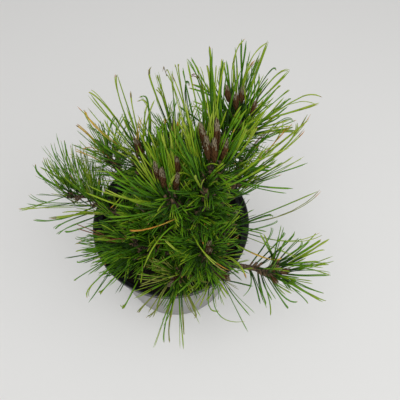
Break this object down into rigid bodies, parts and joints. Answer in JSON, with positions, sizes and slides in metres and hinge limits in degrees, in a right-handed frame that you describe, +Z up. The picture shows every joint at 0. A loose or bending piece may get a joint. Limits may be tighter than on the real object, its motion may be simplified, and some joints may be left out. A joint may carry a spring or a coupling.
{
  "type": "potted mugo pine",
  "caption": "Young mugo pine with long needles on spreading shoots, growing in a round tapered nursery pot filled with soil.",
  "frame": {"origin": "middle of the pot's flat underside, on the ground", "axes": "+Z up along the pot's axis, -Y towards the side that the plant is looked at from, +X to the right there"},
  "size_m": [0.31, 0.2465, 0.328],
  "materials": {
    "pot_plastic": "satin moulded polypropylene",
    "potting_soil": "loose moist peat and wood fibre",
    "bark": "rough young bark",
    "needles": "waxy pine needles"
  },
  "bodies": {
    "root": {"pot": "pot_plastic", "potting_soil": "potting_soil", "trunk": "bark", "bough_back_right": "bark", "bough_centre": "bark", "bough_middle": "bark", "bough_inner": "bark", "bough_upper_left": "bark", "bough_left_back": "bark", "bough_left": "bark", "bough_front_left": "bark", "bough_front": "bark", "bough_front_right": "bark", "bough_right_twig": "bark", "bough_right": "bark", "bough_right_back": "bark", "bough_back": "bark", "foliage_leader": "needles", "foliage_back_right": "needles", "foliage_centre": "needles", "foliage_middle": "needles", "foliage_inner": "needles", "foliage_upper_left": "needles", "foliage_left_back": "needles", "foliage_left": "needles", "foliage_front_left": "needles", "foliage_front": "needles", "foliage_front_right": "needles", "foliage_right_twig": "needles", "foliage_right": "needles", "foliage_right_back": "needles", "foliage_back": "needles"}
  },
  "joints": []
}
